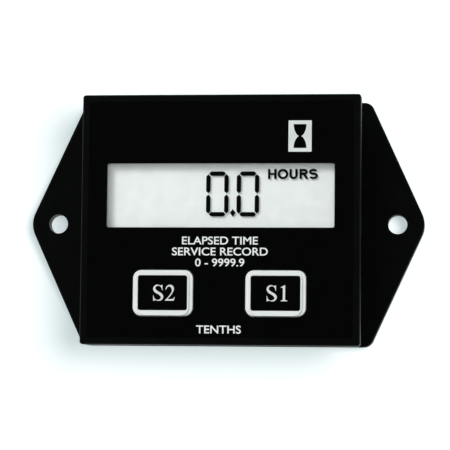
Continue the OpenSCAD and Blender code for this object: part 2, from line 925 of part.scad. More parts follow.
rear_case();
front_bezel();
case_gasket();
face_overlay();
window_lens();
key_cap(s1_x);  // key_cap_s1
key_cap(s2_x);  // key_cap_s2
key_label(s1_x);  // key_label_s1
key_label(s2_x);  // key_label_s2
switch_base(s1_x);  // switch_base_s1
switch_base(s2_x);  // switch_base_s2
switch_cover(s1_x);  // switch_cover_s1
switch_cover(s2_x);  // switch_cover_s2
switch_plunger(s1_x);  // switch_plunger_s1
switch_plunger(s2_x);  // switch_plunger_s2
switch_dome(s1_x);  // switch_dome_s1
switch_dome(s2_x);  // switch_dome_s2
switch_terminals(s1_x);  // switch_terminals_s1
switch_terminals(s2_x);  // switch_terminals_s2
front_polariser();
lcd_front_glass();
lcd_rear_glass();
rear_reflector();
lcd_holder();
zebra_strip(1);  // zebra_strip_upper
zebra_strip(-1);  // zebra_strip_lower
circuit_board();
controller_chip();
memory_chip();
quartz_crystal();
chip_capacitors();
chip_resistors();
battery();
battery_tab_positive();
battery_tab_negative();
lead_pins();
lead_grommet();
case_screws();
board_screws();
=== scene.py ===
"""Looks of a surface-mounted hour meter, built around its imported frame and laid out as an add-on."""

import json
import math

import bmesh
import bpy
from bpy.props import FloatProperty, FloatVectorProperty, PointerProperty, StringProperty
from mathutils import Matrix, Vector


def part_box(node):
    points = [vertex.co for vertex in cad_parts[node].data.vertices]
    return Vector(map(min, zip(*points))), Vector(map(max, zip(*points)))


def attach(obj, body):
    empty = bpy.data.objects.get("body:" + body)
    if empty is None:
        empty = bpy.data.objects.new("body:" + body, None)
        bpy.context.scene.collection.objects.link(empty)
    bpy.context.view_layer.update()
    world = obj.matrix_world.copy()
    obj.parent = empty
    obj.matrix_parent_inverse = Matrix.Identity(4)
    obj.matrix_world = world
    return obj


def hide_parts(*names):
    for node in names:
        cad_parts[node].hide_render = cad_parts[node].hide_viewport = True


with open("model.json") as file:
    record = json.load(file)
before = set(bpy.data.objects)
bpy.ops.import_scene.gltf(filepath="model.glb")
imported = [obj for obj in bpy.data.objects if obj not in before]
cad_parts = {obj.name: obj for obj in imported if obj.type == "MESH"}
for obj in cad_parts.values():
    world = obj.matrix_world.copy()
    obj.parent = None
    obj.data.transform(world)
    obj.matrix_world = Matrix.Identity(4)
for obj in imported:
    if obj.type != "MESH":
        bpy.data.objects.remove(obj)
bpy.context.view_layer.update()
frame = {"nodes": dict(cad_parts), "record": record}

bl_info = {
    "name": "Hour meter looks",
    "version": (1, 0, 0),
    "blender": (4, 5, 0),
    "location": "View3D > Sidebar > Hour meter",
    "description": "Finishes, prints, display and stage of a surface-mounted hour meter",
    "category": "Object",
}

MM = 0.001
BUTTONS = ("s1", "s2")
SLOTS = {row["node"]: row["material_slot"] for row in frame["record"]["subparts"]}

# Soft-edged copies of the solids: the piece's name, and the rounding of its sharp edges
MOULDINGS = {
    "rear_case": ("case_moulding", 0.15 * MM),
    "front_bezel": ("front_moulding", 0.1 * MM),
    "face_overlay": ("printed_sheet", 0.03 * MM),
}
KEY_PIECES = {"key_cap": ("key", 0.05 * MM), "key_label": ("key_inlay", 0.08 * MM)}
BACK_FITTINGS = {"case_screws": ("case_screw_set", 0.12 * MM), "lead_grommet": ("grommet", 0.2 * MM)}

# Fineness of the copies
MERGE_GAP = 0.001 * MM
FLAT_ANGLE = math.radians(0.6)
SHARP_ANGLE = math.radians(40)
CREASE_ANGLE = math.radians(50)
EDGE_SEGMENTS = 3

# Slots of the clear layers over the display, which cast no shadow on it
CLEAR_SLOTS = ("window_clear", "display_glass", "polariser_film")

# How fast a clear layer turns into a mirror as it is seen flatter
GRAZING_POWER = 5.0

# Part of its range that noise keeps to
NOISE_RANGE = (0.3, 0.7)

# Tones of tin and of the chips' epoxy, and how far the chips' leads reach
TIN_TONE = (0.6, 0.6, 0.58)
CHIP_TONE = (0.015, 0.015, 0.016)
LEAD_REACH = 1.0 * MM

# Half the bare length of a small component between its tinned ends, and a length past every piece
SMALL_HALF = 0.6 * MM
FAR = 1.0

# Colour of the sky for the camera
WHITE = (1.0, 1.0, 1.0)

# Heights on the sky's unit sphere between which its overhead patch dims
PATCH_HEIGHTS = (0.7, 0.93)

# Width of the camera's sensor in millimetres, and the nearest and farthest that it sees, in metres
SENSOR_WIDTH = 36.0
CLIP_RANGE = (0.01, 20.0)

# How far a print is let into what carries it, so that no two faces lie in one plane
PRINT_BITE = 0.004 * MM

# Half the height to which curves are extruded, before they are fitted to their place
HALF_DEPTH = 0.5

# Steps of a curve from one point to the next, in a word of the font and in a drawn outline
FONT_STEPS = 5
OUTLINE_STEPS = 8

# Outlines of the button letters in units of their height: x, y, and C for a corner or R for a round point
LETTERS = {
    "S": [
        (0.60, 1.00, "C"), (0.605, 0.64, "C"), (0.565, 0.64, "C"), (0.49, 0.845, "R"), (0.32, 0.93, "R"),
        (0.155, 0.79, "R"), (0.27, 0.635, "R"), (0.55, 0.46, "R"), (0.66, 0.26, "R"), (0.565, 0.06, "R"),
        (0.35, -0.015, "R"), (0.15, 0.03, "R"), (0.06, -0.01, "C"), (0.015, -0.01, "C"), (0.0, 0.34, "C"),
        (0.04, 0.34, "C"), (0.13, 0.135, "R"), (0.32, 0.065, "R"), (0.49, 0.19, "R"), (0.38, 0.36, "R"),
        (0.10, 0.54, "R"), (0.0, 0.74, "R"), (0.09, 0.94, "R"), (0.30, 1.015, "R"), (0.48, 0.965, "R"),
        (0.555, 1.00, "C"),
    ],
    "1": [
        (0.0, 0.88, "C"), (0.24, 1.01, "C"), (0.29, 1.01, "C"), (0.29, 0.16, "C"), (0.32, 0.085, "R"),
        (0.43, 0.07, "C"), (0.43, 0.0, "C"), (0.0, 0.0, "C"), (0.0, 0.07, "C"), (0.10, 0.085, "R"),
        (0.13, 0.16, "C"), (0.13, 0.79, "C"), (0.09, 0.85, "R"), (0.0, 0.82, "C"),
    ],
    "2": [
        (0.02, 0.69, "C"), (0.11, 0.91, "R"), (0.32, 1.01, "R"), (0.54, 0.89, "R"), (0.575, 0.70, "R"),
        (0.46, 0.44, "R"), (0.19, 0.12, "C"), (0.42, 0.12, "R"), (0.53, 0.15, "R"), (0.60, 0.25, "C"),
        (0.64, 0.24, "C"), (0.57, 0.0, "C"), (0.0, 0.0, "C"), (0.0, 0.03, "C"), (0.30, 0.37, "R"),
        (0.43, 0.66, "R"), (0.27, 0.88, "R"), (0.07, 0.68, "C"),
    ],
}
LETTER_GAPS = {"S": 0.0, "1": 0.22, "2": 0.08}
LETTER_THINNING = -0.01

# Display's capitals in units of their height: stroke, how far bows pass the line, and gaps before letters
STROKE = 0.225
OVERSHOOT = 0.015
CAPITAL_GAPS = {"H": 0.0, "O": 0.1, "U": 0.11, "R": 0.18, "S": 0.02}

# Degrees from one corner to the next along a bow, and steps round a corner of a panel
BOW_STEP = 15
CORNER_STEPS = 4

# Width of the legend's sloped edges, in units of the font
INK_SLOPE = 0.012

# Steps of one side of the hourglass, and how full its bulbs are
GLASS_STEPS = 12
BULB_FULLNESS = 0.7

# Noughts that the display shows
DIGITS = 2


def length(name, description, default):
    """A size in metres that a user may change."""
    return FloatProperty(
        name=name, description=description, default=default, min=0.0, unit="LENGTH", precision=5
    )


def share(name, description, default):
    """A plain number of no unit."""
    return FloatProperty(name=name, description=description, default=default, min=0.0)


def angle(name, description, degrees):
    """An angle that a user may change."""
    return FloatProperty(name=name, description=description, default=math.radians(degrees), subtype="ANGLE")


def spot(name, description, default):
    """A place in the plane of the face or in the frame, in metres."""
    return FloatVectorProperty(
        name=name, description=description, default=default, size=len(default),
        subtype="TRANSLATION", precision=5,
    )


def heading(name, description, default):
    """A direction in the frame."""
    return FloatVectorProperty(name=name, description=description, default=default, subtype="DIRECTION")


def colour(name, description, default):
    """A colour in linear light."""
    return FloatVectorProperty(
        name=name, description=description, default=default, subtype="COLOR", min=0.0, max=1.0
    )


def wording(name, description, default):
    """A word or line that is printed or shown."""
    return StringProperty(name=name, description=description, default=default)


class MeterPrint(bpy.types.PropertyGroup):
    """Sizes and places of what is printed and displayed."""

    print_t: length("Ink", "Thickness of the printed ink", 0.02 * MM)
    legend_1: wording("Line 1", "First line under the window", "ELAPSED TIME")
    legend_2: wording("Line 2", "Second line under the window", "SERVICE RECORD")
    legend_3: wording("Line 3", "Third line under the window", "0 - 9999.9")
    legend_top: spot("Legend", "Centre of the first line", (0.05 * MM, -4.15 * MM))
    legend_pitch: length("Line pitch", "Distance from one line to the next", 2.13 * MM)
    legend_h: length("Cap height", "Height of the legend's capitals", 1.57 * MM)
    legend_stretch: share("Set width", "Width of the letters against their drawn width", 1.1)
    foot_word: wording("Foot word", "Word under the buttons", "TENTHS")
    foot_place: spot("Foot word place", "Centre of the word under the buttons", (-0.05 * MM, -21.37 * MM))
    symbol_place: spot("Symbol place", "Centre of the hour symbol", (15.45 * MM, 16.18 * MM))
    symbol_w: length("Symbol width", "Width of the symbol's pale panel", 4.5 * MM)
    symbol_h: length("Symbol height", "Height of the symbol's pale panel", 6.1 * MM)
    symbol_r: length("Symbol corner", "Corner radius of the pale panel", 0.08 * MM)
    glass_w: length("Hourglass width", "Width of the hourglass", 2.5 * MM)
    glass_h: length("Hourglass height", "Height of the hourglass", 4.66 * MM)
    glass_waist: length("Hourglass waist", "Width of the hourglass at its waist", 0.46 * MM)
    digit_w: length("Digit width", "Width of a digit", 4.4 * MM)
    digit_h: length("Digit height", "Height of a digit", 8.8 * MM)
    digit_pitch: length("Digit pitch", "Distance from one digit to the next", 5.98 * MM)
    digit_place: spot("Digit place", "Centre of the first digit", (-0.76 * MM, 5.1 * MM))
    segment_w: length("Segment", "Thickness of a segment", 0.85 * MM)
    segment_gap: length("Segment gap", "Gap at each end of a segment", 0.12 * MM)
    point_place: spot("Point place", "Centre of the decimal point", (2.29 * MM, 1.4 * MM))
    point_w: length("Point width", "Width of the decimal point", 1.12 * MM)
    point_h: length("Point height", "Height of the decimal point", 1.5 * MM)
    unit_word: wording("Unit", "Unit shown beside the digits", "HOURS")
    unit_place: spot("Unit place", "Centre of the unit word", (13.99 * MM, 8.99 * MM))
    unit_w: length("Unit width", "Width of the unit word", 9.75 * MM)
    unit_h: length("Unit height", "Height of the unit word", 2.02 * MM)
    key_letter_h: length("Button letters", "Height of the letters on the buttons", 3.15 * MM)
    key_letter_shift: length("Letter shift", "How far the button letters lie right of the middle", 0.3 * MM)


class MeterFinish(bpy.types.PropertyGroup):
    """Colours of the surfaces."""

    case_black: colour("Case", "Moulded case and front", (0.0016, 0.0016, 0.0017))
    sheet_black: colour("Sheet", "Printed sheet and button inlays", (0.0008, 0.0008, 0.0009))
    key_pale: colour("Button", "Pale button caps", (0.78, 0.8, 0.795))
    ink_white: colour("Ink", "White print", (0.8, 0.82, 0.81))
    letter_white: colour("Letters", "Print on the buttons", (0.68, 0.7, 0.69))
    panel_white: colour("Panel", "Pale panel of the hour symbol", (0.68, 0.71, 0.7))
    display_pale: colour("Display", "Pale ground of the display", (0.94, 0.955, 0.95))
    display_black: colour("Segments", "Darkened segments", (0.002, 0.0022, 0.0024))
    board_green: colour("Board", "Circuit board", (0.012, 0.11, 0.045))


class MeterStage(bpy.types.PropertyGroup):
    """Camera, lamps and floor."""

    camera_place: spot("Camera", "Where the camera stands", (47.11 * MM, -34.73 * MM, 428.98 * MM))
    camera_aim: spot("Aim", "Point of the face that it looks at", (1.015 * MM, -1.13 * MM, 15.0 * MM))
    camera_roll: angle("Roll", "Turn of the camera about its line of sight", 0.605)
    camera_lens: FloatProperty(
        name="Lens", description="Focal length in millimetres", default=172.58, min=1.0, unit="CAMERA"
    )
    left_lamp: share("Left lamp", "Light of the upper left lamp on a level face", 0.43)
    left_from: heading("Left lamp from", "Direction of the upper left lamp", (-0.43, 0.5, 1.0))
    left_angle: angle("Left lamp size", "Angle that the upper left lamp spans", 26)
    over_lamp: share("Overhead lamp", "Light of the overhead lamp on a level face", 0.35)
    over_from: heading("Overhead lamp from", "Direction of the overhead lamp", (0.1, -0.05, 1.0))
    over_angle: angle("Overhead lamp size", "Angle that the overhead lamp spans", 26)
    floor_lamp: share("Floor lamp", "Light of the lamp over the floor", 0.6)
    floor_from: heading("Floor lamp from", "Direction of the lamp over the floor", (0.58, 0.17, 1.0))
    floor_angle: angle("Floor lamp size", "Angle that the lamp over the floor spans", 30)
    sky: share("Sky", "Light that comes from all round", 0.33)
    sky_patch: share("Sky overhead", "Share of that light left right overhead", 0.03)
    sky_colour: colour("Sky colour", "Tint of the light from all round", (0.9, 1.0, 0.96))
    floor_colour: colour("Floor", "Pale floor", (0.9, 0.9, 0.9))
    floor_seen: colour("Floor seen", "Light that the floor shows to the camera", (0.7, 0.7, 0.7))
    floor_shade: colour("Floor shade", "Tint of the floor where it is shaded", (0.5, 0.57, 0.58))
    floor_size: length("Floor size", "Side of the floor", 6.0)


# Finishes

class Recipe:
    """Nodes of one finish, added and joined with few words."""

    def __init__(self, name):
        self.material = bpy.data.materials.new(name)
        self.start(self.material, "Object")

    def start(self, owner, place):
        """Begin with an empty tree and the coordinates of that kind."""
        owner.use_nodes = True
        self.tree = owner.node_tree
        self.tree.nodes.clear()
        self.place = self.add("ShaderNodeTexCoord").outputs[place]

    def add(self, kind, **settings):
        """Add a node with its settings."""
        node = self.tree.nodes.new(kind)
        for key, value in settings.items():
            setattr(node, key, value)
        return node

    def put(self, socket, value):
        """Set an input to a value, or join it to another node's output."""
        if isinstance(value, bpy.types.NodeSocket):
            self.tree.links.new(value, socket)
        else:
            socket.default_value = value

    def feed(self, node, **inputs):
        """Set a node's inputs by their names."""
        for key, value in inputs.items():
            self.put(node.inputs[key.replace("_", " ")], value)
        return node

    def noise(self, size, detail=2.0, stretch=(1, 1, 1)):
        """Noise whose blots have about that size, in metres."""
        scale = [s / size for s in stretch]
        mapping = self.feed(self.add("ShaderNodeMapping"), Vector=self.place, Scale=scale)
        node = self.add("ShaderNodeTexNoise")
        self.feed(node, Vector=mapping.outputs["Vector"], Scale=1.0, Detail=detail)
        return node.outputs["Fac"]

    def axis(self, letter):
        """One coordinate of the place, in metres."""
        return self.feed(self.add("ShaderNodeSeparateXYZ"), Vector=self.place).outputs[letter]

    def spread(self, source, start, end, low, high, kind="LINEAR"):
        """Take a value from one range to another."""
        node = self.add("ShaderNodeMapRange", interpolation_type=kind)
        self.feed(node, Value=source, From_Min=start, From_Max=end, To_Min=low, To_Max=high)
        return node.outputs["Result"]

    def blots(self, noise, low=0.0, high=1.0):
        """Take noise to a whole range."""
        return self.spread(noise, *NOISE_RANGE, low, high)

    def reckon(self, operation, first, second):
        """Reckon with two values, each a number or another node's output."""
        node = self.add("ShaderNodeMath", operation=operation)
        for socket, value in zip(node.inputs, (first, second)):
            self.put(socket, value)
        return node.outputs["Value"]

    def mix(self, factor, first, second):
        """Mix two colours, each a value or another node's output."""
        node = self.add("ShaderNodeMix", data_type="RGBA")
        self.put(node.inputs[0], factor)
        colours = [s for s in node.inputs if s.type == "RGBA"]
        for socket, value in zip(colours, (first, second)):
            self.put(socket, value if isinstance(value, bpy.types.NodeSocket) else (*value[:3], 1.0))
        return next(s for s in node.outputs if s.type == "RGBA")

    def blend(self, factor, first, second):
        """Mix two shaders."""
        node = self.add("ShaderNodeMixShader")
        for socket, source in zip(node.inputs, (factor, first, second)):
            self.put(socket, source)
        return node.outputs["Shader"]

    def bump(self, height, distance):
        """Relief of that depth, in metres."""
        node = self.feed(self.add("ShaderNodeBump"), Height=height, Distance=distance, Strength=1.0)
        return node.outputs["Normal"]

    def seen(self):
        """One for what the camera sees, straight, through something clear or in a shiny face."""
        path = self.add("ShaderNodeLightPath")
        rays = [path.outputs[f"Is {kind} Ray"] for kind in ("Camera", "Transmission", "Glossy")]
        return self.reckon("MAXIMUM", self.reckon("MAXIMUM", rays[0], rays[1]), rays[2])

    def surface(self, shader):
        """Finish the material with that shader."""
        self.feed(self.add("ShaderNodeOutputMaterial"), Surface=shader)
        return self.material

    def principled(self, **inputs):
        """Finish the material with one plain surface."""
        node = self.feed(self.add("ShaderNodeBsdfPrincipled"), **inputs)
        return self.surface(node.outputs["BSDF"])


class SkyRecipe(Recipe):
    """Nodes of the sky, whose coordinates are directions."""

    def __init__(self, world):
        self.start(world, "Generated")


def shade(tone, factor):
    """A colour made lighter or darker."""
    return [c * factor for c in tone]


def moulded(name, tone, rough, grain, depth, gloss=0.5, cloudy=0.2):
    """Moulded plastic or rubber: cloudy tone, uneven sheen and the fine grain of its mould."""
    uneven = 0.06
    r = Recipe(name)
    cloud = r.noise(size=3 * MM)
    fine = r.noise(size=grain, detail=4.0)
    return r.principled(
        Base_Color=r.mix(r.blots(cloud), shade(tone, 1 - cloudy), shade(tone, 1 + cloudy)),
        Roughness=r.blots(fine, rough - uneven, rough + uneven),
        Specular_IOR_Level=gloss,
        Normal=r.bump(fine, depth),
    )


def metal(name, tone, rough, stretch):
    """Bright or plated metal with the fine lines that drawing and rolling leave."""
    smoother, rougher = 0.08, 0.1
    duller, brighter = 0.86, 1.1
    r = Recipe(name)
    lines = r.noise(size=0.12 * MM, detail=3.0, stretch=stretch)
    cloud = r.noise(size=1.5 * MM)
    return r.principled(
        Base_Color=r.mix(r.blots(cloud), shade(tone, duller), shade(tone, brighter)),
        Metallic=1.0,
        Roughness=r.blots(lines, rough - smoother, rough + rougher),
        Normal=r.bump(lines, distance=0.002 * MM),
    )


def clear(name, tint, rough, mirror):
    """Clear plate or film: light passes straight on, and its front mirrors more the flatter it is seen."""
    haze_tint = shade(tint, 0.99)
    haze_rough = rough + 0.04
    r = Recipe(name)
    haze = r.noise(size=2.5 * MM)
    through = r.feed(r.add("ShaderNodeBsdfTransparent"), Color=r.mix(r.blots(haze), haze_tint, tint))
    shine = r.feed(r.add("ShaderNodeBsdfGlossy"), Roughness=r.blots(haze, rough, haze_rough))
    facing = r.add("ShaderNodeLayerWeight").outputs["Facing"]
    grazing = r.reckon("POWER", facing, GRAZING_POWER)
    front = r.reckon("SUBTRACT", 1.0, r.add("ShaderNodeNewGeometry").outputs["Backfacing"])
    mirrored = r.reckon("MULTIPLY", r.spread(grazing, 0.0, 1.0, mirror, 1.0), front)
    return r.surface(r.blend(mirrored, through.outputs["BSDF"], shine.outputs["BSDF"]))


def case_finish(tones):
    """Satin black of the mouldings."""
    return moulded("Case black", tones.case_black, rough=0.4, grain=0.16 * MM, depth=0.003 * MM, gloss=0.09)


def film_finish(name, tones):
    """Smooth black of the printed sheet and of the button inlays."""
    return moulded(name, tones.sheet_black, rough=0.3, grain=0.09 * MM, depth=0.001 * MM, gloss=0.12)


def key_finish(tones):
    """Pale plastic of the button caps."""
    tone = tones.key_pale
    return moulded("Button pale", tone, rough=0.4, grain=0.12 * MM, depth=0.0015 * MM, cloudy=0.03)


def ink_finish(name, tone):
    """Printed ink."""
    return moulded(name, tone, rough=0.55, grain=0.1 * MM, depth=0.001 * MM, gloss=0.2, cloudy=0.06)


def segment_finish(tones):
    """Darkened liquid crystal."""
    tone = tones.display_black
    return moulded("Dark segments", tone, rough=0.6, grain=0.08 * MM, depth=0.0005 * MM, gloss=0.1)


def display_finish(tones):
    """Pale ground of the display, finely speckled, with painted shade: a little darker towards the right.
    """
    # Painted light and shade: the ground is lighter at the left end of the reflector and darker at the
    # right end
    left = shade(tones.display_pale, 1.02)
    right = shade(tones.display_pale, 0.95)
    fleck_tone = (0.75, 0.8, 0.79)
    fleck_share = 0.06
    r = Recipe("Display ground")
    speckle = r.noise(size=0.12 * MM, detail=3.0)
    low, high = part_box("rear_reflector")
    ground = r.mix(r.spread(r.axis("X"), low.x, high.x, 0.0, 1.0), left, right)
    return r.principled(
        Base_Color=r.mix(r.blots(speckle, 0.0, fleck_share), ground, fleck_tone),
        Roughness=r.blots(speckle, 0.6, 0.75),
        Specular_IOR_Level=0.1,
        Normal=r.bump(speckle, distance=0.0006 * MM),
    )


def contact_finish():
    """Striped rubber: thin dark and pale layers along the strip."""
    stripe = 0.36 * MM
    dark, pale = (0.02, 0.02, 0.022), (0.42, 0.42, 0.44)
    r = Recipe("Contact rubber")
    wave = r.add("ShaderNodeTexWave", bands_direction="X")
    layers = r.feed(wave, Vector=r.place, Scale=1 / stripe, Distortion=0.4).outputs["Fac"]
    return r.principled(
        Base_Color=r.mix(layers, dark, pale),
        Roughness=0.7,
        Normal=r.bump(layers, distance=0.004 * MM),
    )


def board_finish(tones):
    """Green solder resist with the faint relief of copper runs under it."""
    run_pitch = 2.2 * MM
    bare, over_copper = shade(tones.board_green, 0.85), shade(tones.board_green, 1.7)
    r = Recipe("Board green")
    runs = r.feed(
        r.add("ShaderNodeTexBrick"), Vector=r.place, Scale=1 / run_pitch, Mortar_Size=0.06,
        Color1=(1, 1, 1, 1), Color2=(1, 1, 1, 1), Mortar=(0, 0, 0, 1),
    ).outputs["Fac"]
    weave = r.noise(size=0.4 * MM)
    return r.principled(
        Base_Color=r.mix(runs, bare, over_copper),
        Roughness=r.blots(weave, 0.28, 0.4),
        Normal=r.bump(runs, distance=0.02 * MM),
    )


def tipped(name, node, tone, half_x, half_y, rough):
    """A component with tinned ends or leads: all that lies past its body, from the solid's middle."""
    blur = 0.02 * MM
    uneven = 0.1
    r = Recipe(name)
    low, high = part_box(node)
    middle = (low + high) / 2
    past = []
    for letter, centre, half in (("X", middle.x, half_x), ("Y", middle.y, half_y)):
        away = r.reckon("ABSOLUTE", r.reckon("SUBTRACT", r.axis(letter), centre), 0.0)
        past.append(r.reckon("SUBTRACT", away, half))
    tin = r.spread(r.reckon("MAXIMUM", *past), 0.0, blur, 0.0, 1.0)
    fine = r.noise(size=0.1 * MM, detail=4.0)
    return r.principled(
        Base_Color=r.mix(tin, r.mix(fine, shade(tone, 0.8), shade(tone, 1.2)), TIN_TONE),
        Metallic=tin,
        Roughness=r.blots(fine, rough - uneven, rough + uneven),
        Normal=r.bump(fine, distance=0.003 * MM),
    )


def body_half(node):
    """Half the width of a chip's body, without its leads."""
    low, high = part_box(node)
    return (high.x - low.x) / 2 - LEAD_REACH


def slot_finishes(tones):
    """One finish for each slot that a solid takes."""
    chip_half = body_half("controller_chip")
    ivory, rubber, black = (0.72, 0.69, 0.6), (0.012, 0.012, 0.0125), (0.014, 0.014, 0.016)
    tan, dark = (0.38, 0.25, 0.12), (0.018, 0.018, 0.02)
    return {
        "case_black": case_finish(tones),
        "overlay_black": film_finish("Sheet black", tones),
        "window_clear": clear("Window clear", (0.996, 1.0, 0.999), rough=0.03, mirror=0.02),
        "key_grey": key_finish(tones),
        "key_black": film_finish("Inlay black", tones),
        "display_glass": clear("Display glass", (0.994, 1.0, 0.998), rough=0.02, mirror=0.004),
        "polariser_film": clear("Polariser film", (0.992, 0.998, 0.996), rough=0.12, mirror=0.004),
        "reflector_film": display_finish(tones),
        "holder_ivory": moulded("Holder ivory", ivory, rough=0.5, grain=0.2 * MM, depth=0.004 * MM),
        "seal_rubber": moulded(
            "Seal rubber", rubber, rough=0.68, grain=0.1 * MM, depth=0.006 * MM, gloss=0.3
        ),
        "contact_rubber": contact_finish(),
        "board_green": board_finish(tones),
        "chip_black": tipped("Chip epoxy", "controller_chip", CHIP_TONE, chip_half, chip_half, rough=0.5),
        "switch_black": moulded("Switch black", black, rough=0.45, grain=0.1 * MM, depth=0.003 * MM),
        "steel_bright": metal("Bright steel", (0.62, 0.63, 0.64), rough=0.26, stretch=(1, 8, 1)),
        "tin_plate": metal("Tin plate", TIN_TONE, rough=0.36, stretch=(1, 1, 6)),
        "screw_black": metal("Blackened screw", (0.06, 0.06, 0.064), rough=0.38, stretch=(1, 1, 8)),
        "pin_brass": metal("Tinned brass", (0.62, 0.46, 0.18), rough=0.3, stretch=(1, 1, 8)),
        "capacitor_tan": tipped("Capacitor tan", "chip_capacitors", tan, FAR, SMALL_HALF, rough=0.45),
        "resistor_black": tipped("Resistor black", "chip_resistors", dark, FAR, SMALL_HALF, rough=0.4),
    }


def own_finishes():
    """Finishes of solids whose leads lie elsewhere than those of the other solids in their slot."""
    memory_half = body_half("memory_chip")
    return {"memory_chip": tipped("Memory epoxy", "memory_chip", CHIP_TONE, memory_half, FAR, rough=0.5)}


# Shapes

def new_piece(name, mesh, body, slot, finish, *stands_for):
    """Show a mesh as a piece that rides on a body and takes the finish that it is given."""
    mesh.name = name
    mesh.materials.clear()
    mesh.materials.append(finish)
    piece = bpy.data.objects.new(name, mesh)
    bpy.context.scene.collection.objects.link(piece)
    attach(piece, body)
    if stands_for:
        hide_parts(*stands_for)
    return piece


def soft_copy(node, edge):
    """Merged copy of a solid with its sharp edges rounded."""
    bm = bmesh.new()
    bm.from_mesh(frame["nodes"][node].data)
    bmesh.ops.remove_doubles(bm, verts=bm.verts, dist=MERGE_GAP)
    bmesh.ops.dissolve_limit(bm, angle_limit=FLAT_ANGLE, verts=bm.verts, edges=bm.edges)
    sharp = [e for e in bm.edges if e.calc_face_angle(0.0) > SHARP_ANGLE]
    bmesh.ops.bevel(
        bm, geom=sharp, offset=edge, offset_type="OFFSET", affect="EDGES", segments=EDGE_SEGMENTS,
        profile=0.5, material=-1, clamp_overlap=True,
    )
    mesh = bpy.data.meshes.new(node)
    bm.to_mesh(mesh)
    bm.free()
    mesh.shade_smooth()
    mesh.set_sharp_from_angle(angle=CREASE_ANGLE)
    return mesh


def soft_piece(node, name, edge, body):
    """Stand a soft-edged copy in for a solid, with its finish and with its flat faces shaded flat."""
    finish = frame["nodes"][node].data.materials[0]
    piece = new_piece(name, soft_copy(node, edge), body, SLOTS[node], finish, node)
    even = piece.modifiers.new("Even shading", "WEIGHTED_NORMAL")
    even.keep_sharp = True


def close(bm, mesh):
    """Write a finished bmesh to a mesh, with its seams closed and its faces pointing outwards."""
    bmesh.ops.remove_doubles(bm, verts=bm.verts, dist=MERGE_GAP)
    bmesh.ops.recalc_face_normals(bm, faces=bm.faces)
    bm.to_mesh(mesh)
    bm.free()


def thicken(bm, faces, low, high):
    """Stand flat faces at one height and extrude them to another."""
    for vert in {v for face in faces for v in face.verts}:
        vert.co.z = low
    made = bmesh.ops.extrude_face_region(bm, geom=faces)
    for item in made["geom"]:
        if isinstance(item, bmesh.types.BMVert):
            item.co.z = high


def flat_shape(bm, points):
    """One flat face from points in the plane."""
    return bm.faces.new([bm.verts.new((x, y, 0.0)) for x, y in points])


def mesh_of_curve(curve):
    """Turn a curve or a word into a mesh, and drop the curve."""
    holder = bpy.data.objects.new(curve.name, curve)
    bpy.context.scene.collection.objects.link(holder)
    mesh = bpy.data.meshes.new_from_object(holder.evaluated_get(bpy.context.evaluated_depsgraph_get()))
    bpy.data.objects.remove(holder)
    bpy.data.curves.remove(curve)
    return mesh


def extent(mesh):
    """Lowest and highest corner of a mesh."""
    places = [v.co for v in mesh.vertices]
    return Vector(map(min, *places)), Vector(map(max, *places))


def width_ratio(mesh):
    """Width of a mesh against its height."""
    first, last = extent(mesh)
    return (last.x - first.x) / (last.y - first.y)


def fit(mesh, place, width, height, low, high):
    """Scale a mesh into a box that is centred on a place in the plane, and close it."""
    first, last = extent(mesh)
    size = last - first
    scale = Matrix.Diagonal((width / size.x, height / size.y, (high - low) / size.z, 1.0))
    middle = Matrix.Translation(-(first + last) / 2)
    mesh.transform(Matrix.Translation((place[0], place[1], (low + high) / 2)) @ scale @ middle)
    bm = bmesh.new()
    bm.from_mesh(mesh)
    close(bm, mesh)


def word_mesh(words):
    """A word in the built-in font, its strokes made heavier by a sloped edge."""
    curve = bpy.data.curves.new("word", "FONT")
    curve.body = words
    curve.bevel_depth = INK_SLOPE
    curve.bevel_resolution = 0
    curve.extrude = HALF_DEPTH
    curve.resolution_u = FONT_STEPS
    return mesh_of_curve(curve)


def outline_mesh(outlines, growth=0.0):
    """A flat shape between closed outlines of corner and round points, made heavier or lighter."""
    curve = bpy.data.curves.new("outline", "CURVE")
    curve.dimensions = "2D"
    curve.fill_mode = "BOTH"
    curve.offset = growth
    curve.extrude = HALF_DEPTH
    curve.resolution_u = OUTLINE_STEPS
    kinds = {"C": "VECTOR", "R": "AUTO"}
    for points in outlines:
        spline = curve.splines.new("BEZIER")
        spline.bezier_points.add(len(points) - 1)
        spline.use_cyclic_u = True
        for knot, (x, y, kind) in zip(spline.bezier_points, points):
            knot.co = (x, y, 0.0)
            knot.handle_left_type = kinds[kind]
            knot.handle_right_type = kinds[kind]
    return mesh_of_curve(curve)


def corners(*points):
    """Corner points of an outline."""
    return [(x, y, "C") for x, y in points]


def bow(x, y, reach_x, reach_y, start, end):
    """Corner points along part of an ellipse, from one angle in degrees to another."""
    steps = round(abs(end - start) / BOW_STEP)
    turns = [math.radians(start + (end - start) * i / steps) for i in range(steps + 1)]
    return corners(*[(x + reach_x * math.cos(t), y + reach_y * math.sin(t)) for t in turns])


def letter_h():
    """Two uprights with a slightly thinner bar."""
    wide = 0.82
    inner = wide - STROKE
    bar = STROKE * 0.85
    low = 0.42
    high = low + bar
    return [corners(
        (0, 0), (STROKE, 0), (STROKE, low), (inner, low), (inner, 0), (wide, 0),
        (wide, 1), (inner, 1), (inner, high), (STROKE, high), (STROKE, 1), (0, 1),
    )]


def letter_o():
    """A ring."""
    half_w = 0.51
    half_h = 0.5 + OVERSHOOT
    return [bow(half_w, 0.5, half_w - inset, half_h - inset, 0, 360)[1:] for inset in (0.0, STROKE)]


def letter_u():
    """Two uprights on a round foot."""
    half = 0.39
    wide = 2 * half
    foot = 0.385
    depth = foot + OVERSHOOT
    outer = bow(half, foot, half, depth, 180, 360)
    inner = bow(half, foot, half - STROKE, depth - STROKE, 360, 180)
    return [corners((0, 1)) + outer + corners((wide, 1), (wide - STROKE, 1)) + inner + corners((STROKE, 1))]


